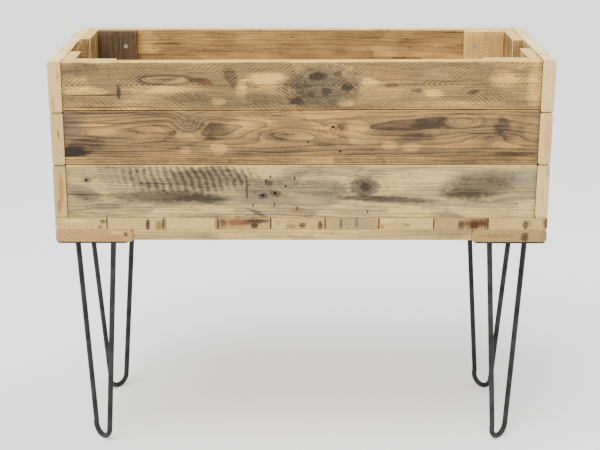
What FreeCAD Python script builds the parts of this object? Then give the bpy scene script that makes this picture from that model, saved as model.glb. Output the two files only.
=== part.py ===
import FreeCAD, Part
import math
import os

# A raised trough planter of reclaimed pallet boards on four hairpin legs.
# Lengths are in millimetres. X runs along the trough, Y from its front to its back, Z up.
# The origin is on the ground, under the middle of the trough.

# ---- Driving dimensions: the trough ----
LENGTH = 880.0              # outside, along X
DEPTH = 350.0               # outside, along Y
LONG_WALL = 21.0            # thickness of the front and back boards
END_WALL = 23.0             # thickness of the left and right boards
FLOOR = 22.0                # thickness of the floor boards
BEARER = 23.0               # thickness of the two boards that carry the legs
RAIL = 20.0                 # thickness of the rails between the bearers
RAIL_WIDTH = 95.0
CLEAT = 20.0                # thickness of the upright corner cleats
COURSE_GAP = 0.8            # between one wall board and the next above it
BUTT_GAP = 0.8              # between a board's end and the face that it stops at
ARRIS = 3.0                 # radius worn onto the boards' long edges

# Each wall from the bottom up: height at the left end, height at the right end,
# gap under the board, and how much thinner than its wall it was sawn.
FRONT_COURSES = {
    "front_board_bottom": (97.5, 99.0, 0.0, 0.0),
    "front_filler_strip": (13.5, 13.5, COURSE_GAP, 1.2),
    "front_board_middle": (83.0, 85.0, 0.2, 0.5),
    "front_board_top": (85.5, 85.5, COURSE_GAP, 0.0),
}
BACK_COURSES = {
    "back_board_bottom": (96.0, 96.0, 0.0, 0.6),
    "back_board_middle": (95.0, 95.0, COURSE_GAP, 0.0),
    "back_board_top": (92.5, 92.5, COURSE_GAP, 0.4),
}
# End walls from the bottom up: height, and how much thinner than the wall.
LEFT_COURSES = {
    "left_board_bottom": (96.0, 0.5),
    "left_board_middle": (94.0, 0.7),
    "left_board_top": (91.0, 0.0),
}
RIGHT_COURSES = {
    "right_board_bottom": (98.0, 0.4),
    "right_board_middle": (94.0, 0.8),
    "right_board_top": (93.0, 0.0),
}
# Floor boards from left to right. The last one takes what is left of the length.
FLOOR_WIDTHS = (92.0, 99.0, 97.0, 93.0, 96.0, 95.0, 97.0, 96.0)
FLOOR_GAP = 1.2             # lets water out
BEARER_WIDTHS = {-1: 138.0, 1: 134.0}

# Cleats by corner: width on the end wall, width on the long wall, height.
CLEATS = {
    "front_left": (90.0, 72.0, 280.0),
    "front_right": (112.0, 79.0, 283.0),
    "back_left": (110.0, 75.0, 284.0),
    "back_right": (118.0, 77.0, 284.0),
}
# Which way each corner lies along X and Y.
CORNERS = {
    "front_left": (-1, -1),
    "front_right": (1, -1),
    "back_left": (-1, 1),
    "back_right": (1, 1),
}

# ---- Driving dimensions: the legs ----
LEG_HEIGHT = 414.0          # ground to the underside of the plates
ROD_RADIUS = 5.0
ROD_SPREAD = 114.0          # between the rod's two ends at the plate, centre to centre
ROD_OFFSET = 5.0            # from the plate's centre towards the trough's corner, along X and Y
FOOT_BEND = 21.0            # radius of the bend at the foot, to the rod's centre
PLATE_SIDE = 128.0
PLATE = 3.0                 # thickness
PLATE_CORNER = 8.0          # radius of its corners
PLATE_INSET = 1.0           # from the plate's edge to the trough's outside
PLATE_HOLE_RADIUS = 2.8
PLATE_HOLE_OFFSET = 52.0    # from the plate's centre to each hole, along X and Y
WELD_REACH = 3.5            # how far the bead spreads over the plate
WELD_DROP = 4.0             # how far it runs down the rod
WELD_TOE = 0.6              # its thickness where it ends

# ---- Driving dimensions: screws and nails ----
SCREW_RADIUS = 2.0
SCREW_HEAD_RADIUS = 4.2
SCREW_HEAD = 3.2            # height of the countersunk cone
SCREW_POINT = 4.0           # length of the tapered tip
CLEAT_SCREW_LENGTH = 38.0
UNDER_SCREW_LENGTH = 40.0
LEG_SCREW_LENGTH = 25.0     # under the head
LEG_SCREW_RADIUS = 2.4
PAN_HEAD_RADIUS = 4.8
PAN_HEAD = 2.8
NAIL_RADIUS = 1.4
NAIL_HEAD_RADIUS = 3.2
NAIL_HEAD = 1.0
NAIL_LENGTH = 50.0
SCREW_FROM_EDGE = 21.0      # cleat screw to the cleat's free edge
SCREW_FROM_TOP = 31.0       # cleat screw to the top of the board that it holds
BEARER_SCREW_STEP = 25.0    # bearer screws to the trough's middle line
BEARER_SCREW_EDGE = 20.0    # bearer screws to the bearer's long edges
RAIL_SCREW_PLACES = (-0.25, 0.0, 0.25)      # along X, in parts of the length
RAIL_SCREW_FROM_FACE = 60.0

# ---- Levels and faces that follow from them ----
PLATE_TOP = LEG_HEIGHT + PLATE
FLOOR_UNDERSIDE = PLATE_TOP + BEARER
FLOOR_TOP = FLOOR_UNDERSIDE + FLOOR
END_FACE = LENGTH / 2 - END_WALL            # inner face of an end wall, from the middle
LONG_FACE = DEPTH / 2 - LONG_WALL           # inner face of a long wall
LEG_X = LENGTH / 2 - PLATE_INSET - PLATE_SIDE / 2
LEG_Y = DEPTH / 2 - PLATE_INSET - PLATE_SIDE / 2

UP = FreeCAD.Vector(0, 0, 1)
PARALLEL = 0.99             # least dot product of two unit directions that count as parallel


def vector(x, y, z):
    return FreeCAD.Vector(x, y, z)


def span(a, b):
    """The two limits, lower one first."""
    return (min(a, b), max(a, b))


def round_arrises(blank, grain):
    """Round the four edges that run along the grain, which may be slightly out of true."""
    long_edges = []
    for edge in blank.Edges:
        run = edge.Vertexes[1].Point - edge.Vertexes[0].Point
        if abs(run.normalize().dot(grain)) > PARALLEL:
            long_edges.append(edge)
    return blank.makeFillet(ARRIS, long_edges)


def plank(x_span, y_span, z_span, grain):
    """A straight board between the given limits."""
    corner = vector(x_span[0], y_span[0], z_span[0])
    sides = [high - low for low, high in (x_span, y_span, z_span)]
    return round_arrises(Part.makeBox(*sides, corner), grain)


def tapered_plank(y_span, left, right):
    """A long-wall board whose left and right ends have their own limits in Z."""
    half = END_FACE - BUTT_GAP
    outline = [(-half, left[0]), (half, right[0]), (half, right[1]), (-half, left[1])]
    points = [vector(x, y_span[0], z) for x, z in outline]
    face = Part.Face(Part.makePolygon(points + points[:1]))
    blank = face.extrude(vector(0, y_span[1] - y_span[0], 0))
    return round_arrises(blank, vector(1, 0, 0))


# ---- Walls ----
def long_wall(courses, side):
    """The boards of the front wall (side -1) or the back wall (side 1), from the bottom up."""
    boards = {}
    left = right = FLOOR_TOP
    for name, (left_height, right_height, gap, thinner) in courses.items():
        left += gap
        right += gap
        y_span = span(side * (DEPTH / 2 - thinner), side * LONG_FACE)
        boards[name] = tapered_plank(y_span, (left, left + left_height), (right, right + right_height))
        left += left_height
        right += right_height
    return boards


def end_wall(courses, side):
    """The boards of the left wall (side -1) or the right wall (side 1), from the bottom up."""
    boards = {}
    bottom = FLOOR_TOP
    for name, (height, thinner) in courses.items():
        x_span = span(side * (LENGTH / 2 - thinner), side * END_FACE)
        boards[name] = plank(x_span, (-DEPTH / 2, DEPTH / 2), (bottom, bottom + height), vector(0, 1, 0))
        bottom += height + COURSE_GAP
    return boards


def corner_cleats():
    """Two upright cleats in each corner: one on the end wall, one butted to it on the long wall."""
    cleats = {}
    for corner, (end_width, long_width, height) in CLEATS.items():
        along, across = CORNERS[corner]
        z_span = (FLOOR_TOP, FLOOR_TOP + height)
        end_x = span(along * END_FACE, along * (END_FACE - CLEAT))
        end_y = span(across * LONG_FACE, across * (LONG_FACE - end_width))
        cleats["end_wall_cleat_" + corner] = plank(end_x, end_y, z_span, UP)
        long_start = END_FACE - CLEAT - BUTT_GAP
        long_x = span(along * long_start, along * (long_start - long_width))
        long_y = span(across * LONG_FACE, across * (LONG_FACE - CLEAT))
        cleats["long_wall_cleat_" + corner] = plank(long_x, long_y, z_span, UP)
    return cleats


# ---- Floor and underside ----
def floor_spans():
    """The limits in X of each floor board, from left to right."""
    spans = []
    left = -LENGTH / 2
    for width in FLOOR_WIDTHS:
        spans.append((left, left + width))
        left += width + FLOOR_GAP
    spans.append((left, LENGTH / 2))
    return spans


def floor_boards():
    boards = {}
    z_span = (FLOOR_UNDERSIDE, FLOOR_TOP)
    for number, x_span in enumerate(floor_spans(), start=1):
        name = "floor_board_%d" % number
        boards[name] = plank(x_span, (-DEPTH / 2, DEPTH / 2), z_span, vector(0, 1, 0))
    return boards


def underside():
    """Two bearers across the ends, which carry the legs, and two rails between them."""
    pieces = {}
    full_depth = (-DEPTH / 2, DEPTH / 2)
    for side, name in ((-1, "bearer_left"), (1, "bearer_right")):
        x_span = span(side * LENGTH / 2, side * (LENGTH / 2 - BEARER_WIDTHS[side]))
        pieces[name] = plank(x_span, full_depth, (PLATE_TOP, FLOOR_UNDERSIDE), vector(0, 1, 0))
    x_span = (BEARER_WIDTHS[-1] + BUTT_GAP - LENGTH / 2, LENGTH / 2 - BEARER_WIDTHS[1] - BUTT_GAP)
    z_span = (FLOOR_UNDERSIDE - RAIL, FLOOR_UNDERSIDE)
    for side, name in ((-1, "front_rail"), (1, "back_rail")):
        y_span = span(side * DEPTH / 2, side * (DEPTH / 2 - RAIL_WIDTH))
        pieces[name] = plank(x_span, y_span, z_span, vector(1, 0, 0))
    return pieces


# ---- Legs ----
def hairpin(centre, spread_direction):
    """One rod, bent double at the foot and cut level under the plate."""
    bend_height = FOOT_BEND + ROD_RADIUS
    rise = LEG_HEIGHT - bend_height
    lean = math.atan2(ROD_SPREAD / 2, rise)
    contact = math.acos(FOOT_BEND / math.hypot(ROD_SPREAD / 2, rise))
    tangent = math.pi / 2 - lean - contact
    past_plate = 1.0 + ROD_RADIUS / rise

    def point(across, height):
        return centre + spread_direction * across + UP * height

    def straight(side):
        across = side * FOOT_BEND * math.cos(tangent)
        height = bend_height + FOOT_BEND * math.sin(tangent)
        end_across = across + (side * ROD_SPREAD / 2 - across) * past_plate
        end_height = height + (LEG_HEIGHT - height) * past_plate
        return point(end_across, end_height), point(across, height)

    left_end, left_tangent = straight(-1)
    right_end, right_tangent = straight(1)
    path = Part.Wire([
        Part.LineSegment(left_end, left_tangent).toShape(),
        Part.Arc(left_tangent, point(0, ROD_RADIUS), right_tangent).toShape(),
        Part.LineSegment(right_tangent, right_end).toShape(),
    ])
    ring = Part.Wire(Part.makeCircle(ROD_RADIUS, left_end, left_tangent - left_end))
    rod = path.makePipe(Part.Face(ring))
    above = Part.makeBox(PLATE_SIDE, PLATE_SIDE, PLATE_SIDE)
    above.translate(centre + vector(-PLATE_SIDE / 2, -PLATE_SIDE / 2, LEG_HEIGHT))
    return rod.cut(above).Solids[0]


def leg_plate(centre):
    """The square plate, with a hole for a screw near each corner."""
    corner = centre + vector(-PLATE_SIDE / 2, -PLATE_SIDE / 2, LEG_HEIGHT)
    plate = Part.makeBox(PLATE_SIDE, PLATE_SIDE, PLATE, corner)
    upright = [edge for edge in plate.Edges if abs(edge.tangentAt(0).dot(UP)) > PARALLEL]
    plate = plate.makeFillet(PLATE_CORNER, upright)
    holes = []
    for place in plate_hole_places(centre):
        holes.append(Part.makeCylinder(PLATE_HOLE_RADIUS, PLATE, place))
    return plate.cut(holes).Solids[0]


def plate_hole_places(centre):
    places = []
    for x_side in (-1, 1):
        for y_side in (-1, 1):
            offset = vector(x_side * PLATE_HOLE_OFFSET, y_side * PLATE_HOLE_OFFSET, LEG_HEIGHT)
            places.append(centre + offset)
    return places


def weld_beads(centre, spread_direction, rod):
    """A bead round the top of each rod, against the plate."""
    beads = []
    for side in (-1, 1):
        top = centre + spread_direction * (side * ROD_SPREAD / 2) + UP * LEG_HEIGHT
        cone = Part.makeCone(ROD_RADIUS + WELD_REACH, ROD_RADIUS + WELD_TOE, WELD_DROP, top, -UP)
        beads.append(cone.cut(rod).Solids[0])
    return Part.makeCompound(beads)


def legs():
    """Plate, bent rod and weld beads of each leg. The rods spread square to the corner's diagonal."""
    pieces = {}
    for corner, (along, across) in CORNERS.items():
        centre = vector(along * LEG_X, across * LEG_Y, 0)
        rod_centre = centre + vector(along * ROD_OFFSET, across * ROD_OFFSET, 0)
        spread_direction = vector(1, -along * across, 0).normalize()
        rod = hairpin(rod_centre, spread_direction)
        pieces["leg_plate_" + corner] = leg_plate(centre)
        pieces["leg_rod_" + corner] = rod
        pieces["leg_weld_" + corner] = weld_beads(rod_centre, spread_direction, rod)
    return pieces


# ---- Screws and nails ----
def countersunk_screw(head_centre, drive, length):
    """A wood screw whose flat head is level with the face at head_centre."""
    head = Part.makeCone(SCREW_HEAD_RADIUS, SCREW_RADIUS, SCREW_HEAD, head_centre, drive)
    body = length - SCREW_POINT
    shank = Part.makeCylinder(SCREW_RADIUS, body, head_centre, drive)
    tip = Part.makeCone(SCREW_RADIUS, 0, SCREW_POINT, head_centre + drive * body, drive)
    return head.fuse([shank, tip]).removeSplitter().Solids[0]


def pan_head_screw(seat_centre, drive, length):
    """A screw whose domed head sits on the face at seat_centre."""
    ball_radius = (PAN_HEAD_RADIUS ** 2 + PAN_HEAD ** 2) / (2 * PAN_HEAD)
    ball = Part.makeSphere(ball_radius, seat_centre + drive * (ball_radius - PAN_HEAD))
    slab = Part.makeCylinder(PAN_HEAD_RADIUS, PAN_HEAD, seat_centre - drive * PAN_HEAD, drive)
    body = length - SCREW_POINT
    shank = Part.makeCylinder(LEG_SCREW_RADIUS, body, seat_centre, drive)
    tip = Part.makeCone(LEG_SCREW_RADIUS, 0, SCREW_POINT, seat_centre + drive * body, drive)
    return ball.common(slab).fuse([shank, tip]).removeSplitter().Solids[0]


def nail(head_centre, drive):
    """A round nail whose head is level with the face at head_centre."""
    head = Part.makeCylinder(NAIL_HEAD_RADIUS, NAIL_HEAD, head_centre, drive)
    shank = Part.makeCylinder(NAIL_RADIUS, NAIL_LENGTH, head_centre, drive)
    return head.fuse(shank).removeSplitter().Solids[0]


def screw_heights(courses, height_column):
    """How high the cleat screws are: a set distance under the top of each full board."""
    heights = []
    top = FLOOR_TOP
    for name, course in courses.items():
        top += course[height_column]
        if "board" in name:
            heights.append(top - SCREW_FROM_TOP)
        top += COURSE_GAP
    return heights


def cleat_screws():
    """Screws driven from inside the trough, through each cleat into each board behind it."""
    screws = []
    for corner, (end_width, long_width, _) in CLEATS.items():
        along, across = CORNERS[corner]
        end_courses = LEFT_COURSES if along < 0 else RIGHT_COURSES
        long_courses = FRONT_COURSES if across < 0 else BACK_COURSES
        long_column = 0 if along < 0 else 1
        end_y = across * (LONG_FACE - end_width + SCREW_FROM_EDGE)
        for z in screw_heights(end_courses, 0):
            head = vector(along * (END_FACE - CLEAT), end_y, z)
            screws.append(countersunk_screw(head, vector(along, 0, 0), CLEAT_SCREW_LENGTH))
        long_x = along * (END_FACE - CLEAT - BUTT_GAP - long_width + SCREW_FROM_EDGE)
        for z in screw_heights(long_courses, long_column):
            head = vector(long_x, across * (LONG_FACE - CLEAT), z)
            screws.append(countersunk_screw(head, vector(0, across, 0), CLEAT_SCREW_LENGTH))
    return screws


def floor_nails():
    """Two nails up through each floor board, into the bottom edges of the long walls."""
    nails = []
    middle_of_wall = (DEPTH / 2 + LONG_FACE) / 2
    for low, high in floor_spans():
        for side in (-1, 1):
            nails.append(nail(vector((low + high) / 2, side * middle_of_wall, FLOOR_UNDERSIDE), UP))
    return nails


def bearer_screws():
    """Four screws up through each bearer into the floor, between its two leg plates."""
    screws = []
    for side, width in BEARER_WIDTHS.items():
        for from_end in (BEARER_SCREW_EDGE, width - BEARER_SCREW_EDGE):
            for y in (-BEARER_SCREW_STEP, BEARER_SCREW_STEP):
                head = vector(side * (LENGTH / 2 - from_end), y, PLATE_TOP)
                screws.append(countersunk_screw(head, UP, UNDER_SCREW_LENGTH))
    return screws


def rail_screws():
    """Screws up through each rail into the floor."""
    screws = []
    for side in (-1, 1):
        for place in RAIL_SCREW_PLACES:
            y = side * (DEPTH / 2 - RAIL_SCREW_FROM_FACE)
            head = vector(place * LENGTH, y, FLOOR_UNDERSIDE - RAIL)
            screws.append(countersunk_screw(head, UP, UNDER_SCREW_LENGTH))
    return screws


def leg_screws():
    """Pan-head screws up through the plates into the bearers."""
    screws = []
    for along, across in CORNERS.values():
        for place in plate_hole_places(vector(along * LEG_X, across * LEG_Y, 0)):
            screws.append(pan_head_screw(place, UP, LEG_SCREW_LENGTH))
    return screws


# ---- The assembly ----
def drilled(wood, fasteners):
    """The wooden piece with a hole for each screw and nail that enters it."""
    entering = [item for item in fasteners if wood.BoundBox.intersect(item.BoundBox)]
    return wood.cut(entering).Solids[0] if entering else wood


def main():
    groups = {
        "cleat_screws": cleat_screws(),
        "floor_nails": floor_nails(),
        "bearer_screws": bearer_screws(),
        "rail_screws": rail_screws(),
        "leg_screws": leg_screws(),
    }
    fasteners = [item for group in groups.values() for item in group]

    wood = {}
    wood.update(long_wall(FRONT_COURSES, -1))
    wood.update(long_wall(BACK_COURSES, 1))
    wood.update(end_wall(LEFT_COURSES, -1))
    wood.update(end_wall(RIGHT_COURSES, 1))
    wood.update(corner_cleats())
    wood.update(floor_boards())
    wood.update(underside())

    nodes = {name: drilled(piece, fasteners) for name, piece in wood.items()}
    nodes.update(legs())
    for name, group in groups.items():
        nodes[name] = Part.makeCompound(group)

    os.makedirs("parts", exist_ok=True)
    for name, shape in nodes.items():
        shape.exportStep("parts/%s.step" % name)
        print("%-32s %2d solid(s), %9.0f mm3" % (name, len(shape.Solids), shape.Volume))
    print(len(nodes), "nodes")


main()
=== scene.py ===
# %% [markdown]
# # A raised planter of reclaimed pallet boards
# This lesson dresses a planter whose joinery is already drawn: a trough of old pine boards on four
# bent steel legs. The drawing is loaded as a fixed frame. Every visible piece is then remade at the
# same place, with worn edges, holes and a material of its own, and nothing is moved or resized.
# %% Load the frame and measure it
import math
import random

import bmesh
import bpy
from mathutils import Matrix, Vector, noise


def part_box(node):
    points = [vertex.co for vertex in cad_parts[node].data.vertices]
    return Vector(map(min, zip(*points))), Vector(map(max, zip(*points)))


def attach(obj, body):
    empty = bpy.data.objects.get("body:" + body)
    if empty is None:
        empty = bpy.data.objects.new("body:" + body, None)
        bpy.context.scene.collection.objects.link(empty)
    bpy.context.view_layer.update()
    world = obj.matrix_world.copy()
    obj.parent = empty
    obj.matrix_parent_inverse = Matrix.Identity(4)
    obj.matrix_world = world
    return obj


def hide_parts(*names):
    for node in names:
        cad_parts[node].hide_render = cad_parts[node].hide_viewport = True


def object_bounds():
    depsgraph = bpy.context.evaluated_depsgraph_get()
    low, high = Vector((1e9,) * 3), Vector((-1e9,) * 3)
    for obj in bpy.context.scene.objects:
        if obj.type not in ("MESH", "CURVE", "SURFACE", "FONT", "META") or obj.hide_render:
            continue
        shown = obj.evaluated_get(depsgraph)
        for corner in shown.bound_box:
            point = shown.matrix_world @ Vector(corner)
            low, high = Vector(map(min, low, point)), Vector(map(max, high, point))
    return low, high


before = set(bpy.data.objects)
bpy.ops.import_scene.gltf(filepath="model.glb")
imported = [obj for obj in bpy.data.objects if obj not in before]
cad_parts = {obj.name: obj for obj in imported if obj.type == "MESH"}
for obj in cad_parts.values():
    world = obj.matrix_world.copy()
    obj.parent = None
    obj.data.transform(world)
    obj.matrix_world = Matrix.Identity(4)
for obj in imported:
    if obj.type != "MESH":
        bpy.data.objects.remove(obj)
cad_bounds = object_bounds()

MM = 0.001                      # the frame is in metres, and wood is measured in millimetres
low_corner, high_corner = (Vector(corner) for corner in cad_bounds)
middle = (low_corner + high_corner) / 2
size = high_corner - low_corner
print("The planter measures", [round(side, 3) for side in size], "m")

# %% [markdown]
# ## The camera
# The camera stands in front of the planter and looks down on it a little, so that the rims and the
# corner cleats inside the trough show. A long lens keeps the upright corners nearly parallel.
# %% Camera
CAMERA_DISTANCE = 2.251         # in front of the front boards
CAMERA_HEIGHT = 1.172
CAMERA_ASIDE = -0.011
LENS = 79.3                     # mm, on the usual 36 mm sensor
LOOK_DOWN = 16.51               # degrees
LOOK_RIGHT = 0.18
ROLL = -0.11
SHIFT_DOWN = 0.05               # of the picture's width

camera_data = bpy.data.cameras.new("camera")
camera_data.lens = LENS
camera_data.shift_y = -SHIFT_DOWN
camera = bpy.data.objects.new("camera", camera_data)
camera.location = (CAMERA_ASIDE, low_corner.y - CAMERA_DISTANCE, CAMERA_HEIGHT)
camera.rotation_euler = (math.radians(90 - LOOK_DOWN), math.radians(ROLL), math.radians(-LOOK_RIGHT))
bpy.context.scene.collection.objects.link(camera)
bpy.context.scene.camera = camera
print("The camera stands at", [round(place, 3) for place in camera.location])

# %% [markdown]
# ## Two helpers for materials
# Colours are written as the hex values of a colour picker. A shader works in linear light, so one
# function turns them. The other function adds a shader node, sets it and links it, which keeps each
# material below readable as a list of steps.
# %% Helpers for materials
def linear(hex_colour):
    """The linear colour of an sRGB hex value."""
    channels = []
    for start in (1, 3, 5):
        value = int(hex_colour[start:start + 2], 16) / 255
        channels.append(value / 12.92 if value <= 0.04045 else ((value + 0.055) / 1.055) ** 2.4)
    return (*channels, 1.0)


def add(tree, kind, inputs=None, out=0, **settings):
    """Add a node, set its properties, set or link its inputs, and give back one output."""
    node = tree.nodes.new("ShaderNode" + kind)
    for name, value in settings.items():
        setattr(node, name, value)
    for key, value in (inputs or {}).items():
        if isinstance(value, bpy.types.NodeSocket):
            tree.links.new(value, node.inputs[key])
        else:
            node.inputs[key].default_value = value
    return node.outputs[out]


def new_material(name):
    """An empty material and its node tree."""
    material = bpy.data.materials.new(name)
    material.use_nodes = True
    material.node_tree.nodes.clear()
    return material, material.node_tree


def finish_material(tree, shader):
    output = tree.nodes.new("ShaderNodeOutputMaterial")
    tree.links.new(shader, output.inputs["Surface"])


# %% [markdown]
# ## The studio
# The planter stands on a plain pale floor, as in a catalogue. White walls all round would light it
# evenly, so the world is a soft white. One broad sun from the front left gives the rough wood its
# relief, and a soft box overhead brightens the rims. The floor glows a little, so that the shadows
# under the boards stay light.
# %% Floor and light
FLOOR_SIDE = 40.0
floor_mesh = bpy.data.meshes.new("studio_floor")
shape = bmesh.new()
bmesh.ops.create_grid(shape, x_segments=1, y_segments=1, size=FLOOR_SIDE / 2)
bmesh.ops.translate(shape, verts=shape.verts, vec=(0, 0, low_corner.z))
shape.to_mesh(floor_mesh)
shape.free()
studio_floor = bpy.data.objects.new("studio_floor", floor_mesh)
bpy.context.scene.collection.objects.link(studio_floor)
material, tree = new_material("white painted studio floor")
shader = add(tree, "BsdfPrincipled", {
    "Base Color": linear("#e9e9e9"), "Roughness": 0.9,
    "Emission Color": linear("#ffffff"), "Emission Strength": 0.55,
})
finish_material(tree, shader)
floor_mesh.materials.append(material)

world = bpy.data.worlds.new("studio")
world.use_nodes = True
background = world.node_tree.nodes["Background"]
background.inputs["Color"].default_value = linear("#fdfdff")
background.inputs["Strength"].default_value = 0.6
bpy.context.scene.world = world


def light(name, kind, place, **settings):
    """A lamp that faces the middle of the planter."""
    data = bpy.data.lights.new(name, kind)
    for key, value in settings.items():
        setattr(data, key, value)
    lamp = bpy.data.objects.new(name, data)
    lamp.location = place
    lamp.rotation_euler = (middle - Vector(place)).to_track_quat("-Z", "Y").to_euler()
    bpy.context.scene.collection.objects.link(lamp)


light("soft_sun", "SUN", (-1.1, -1.9, 4.0), energy=3.6, angle=math.radians(40))
light("overhead_light", "AREA", (0.1, -0.1, 2.8), energy=60, shape="RECTANGLE", size=2.4, size_y=1.4)
print("The studio has a floor, a soft sun and a soft box overhead")

# %% [markdown]
# ## Old pine
# The boards are softwood: spruce or pine from pallets. Three things make it look old. The growth
# rings show as lines that part round each knot. The saw left rows of marks across the board, which
# are still there where the sander has missed. And the bare surface has gone grey and brown where
# rain, nails and iron touched it.
#
# The rings are made as they grow: each board carries the place of every point measured from the
# pith of its log, in millimetres, so one distance gives lines on the faces and arcs on the ends.
# A picture could not do that, because it would have to meet itself at every edge.
# %% Pine: what a board may look like
PLAIN_LOOK = {
    # Five colours of bare pine, from the darkest line to the palest sanded spot.
    "tones": ("#4d3f2e", "#745e3f", "#967a4e", "#bc975a", "#e4be70"),
    "level": 0.5,               # the middle of the range that this board keeps to
    "ring": 4.2,                # mm from ring to ring
    "ring_contrast": 0.3,
    "fibres": 0.8,
    "patches": 0.6,             # how uneven the sanding was
    "specks": 0.3,              # dirt in the pores
    "saw_pitch": 7.0,           # mm between saw marks
    "saw_lean": 0.25,           # mm along the board for each mm across it
    "saw_mirrored": False,      # marks that turn round at the pith
    "saw": 0.2,
    "saw_area": None,           # where the marks show: along, across, half length, half width
    "pith_line": 0.0,
    "wild_knots": 1.0,
    "knots": (),                # along, across, half length, half width, darkness
    "marks": (),                # along, across, half length, half width, turn, lighter or darker
    "arcs": (),                 # along, across, half length, half width, number of lines, darkness
    "tints": (),                # along, across, half length, half width, turn, colour, strength
    "end_marks": (),            # across, through, half width, half height, lighter or darker
    "end_tints": (),            # across, through, half width, half height, colour, strength
    "end_level": 0.62,
    "drift": 24.0,              # mm that the rings wander over the length of a board
}
KNOT_DARK = "#2b251d"
KNOT_PALE = "#4d3f2e"
# Cracks take this colour, and so does the painted shade in the joints between boards.
CRACK_AND_JOINT_SHADE = "#2b2117"
FAR = 1e5                       # mm: a mark this deep goes right through the board
FRONT_END = -175.0              # mm from the middle of a floor board to its front end
END_DEPTH = 60.0                # mm that a mark on a sawn end reaches into the board

# Noise patterns: length along the grain and width across it, in mm, and their detail.
PATTERNS = {
    "drift": (420, 80, 2.0),
    "wobble": (75, 14, 3.0),
    "fibre": (60, 2.2, 5.0),    # real fibres are finer than this, and would not show
    "speck": (5, 2.6, 3.0),
    "patch": (60, 22, 5.0),
    "tone": (240, 50, 3.0),
    "crack": (230, 4.5, 2.0),
    "edge": (11, 7, 4.0),
}
print("Pine has", len(PATTERNS), "noise patterns, from",
      min(width for length, width, detail in PATTERNS.values()), "mm wide")


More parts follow.
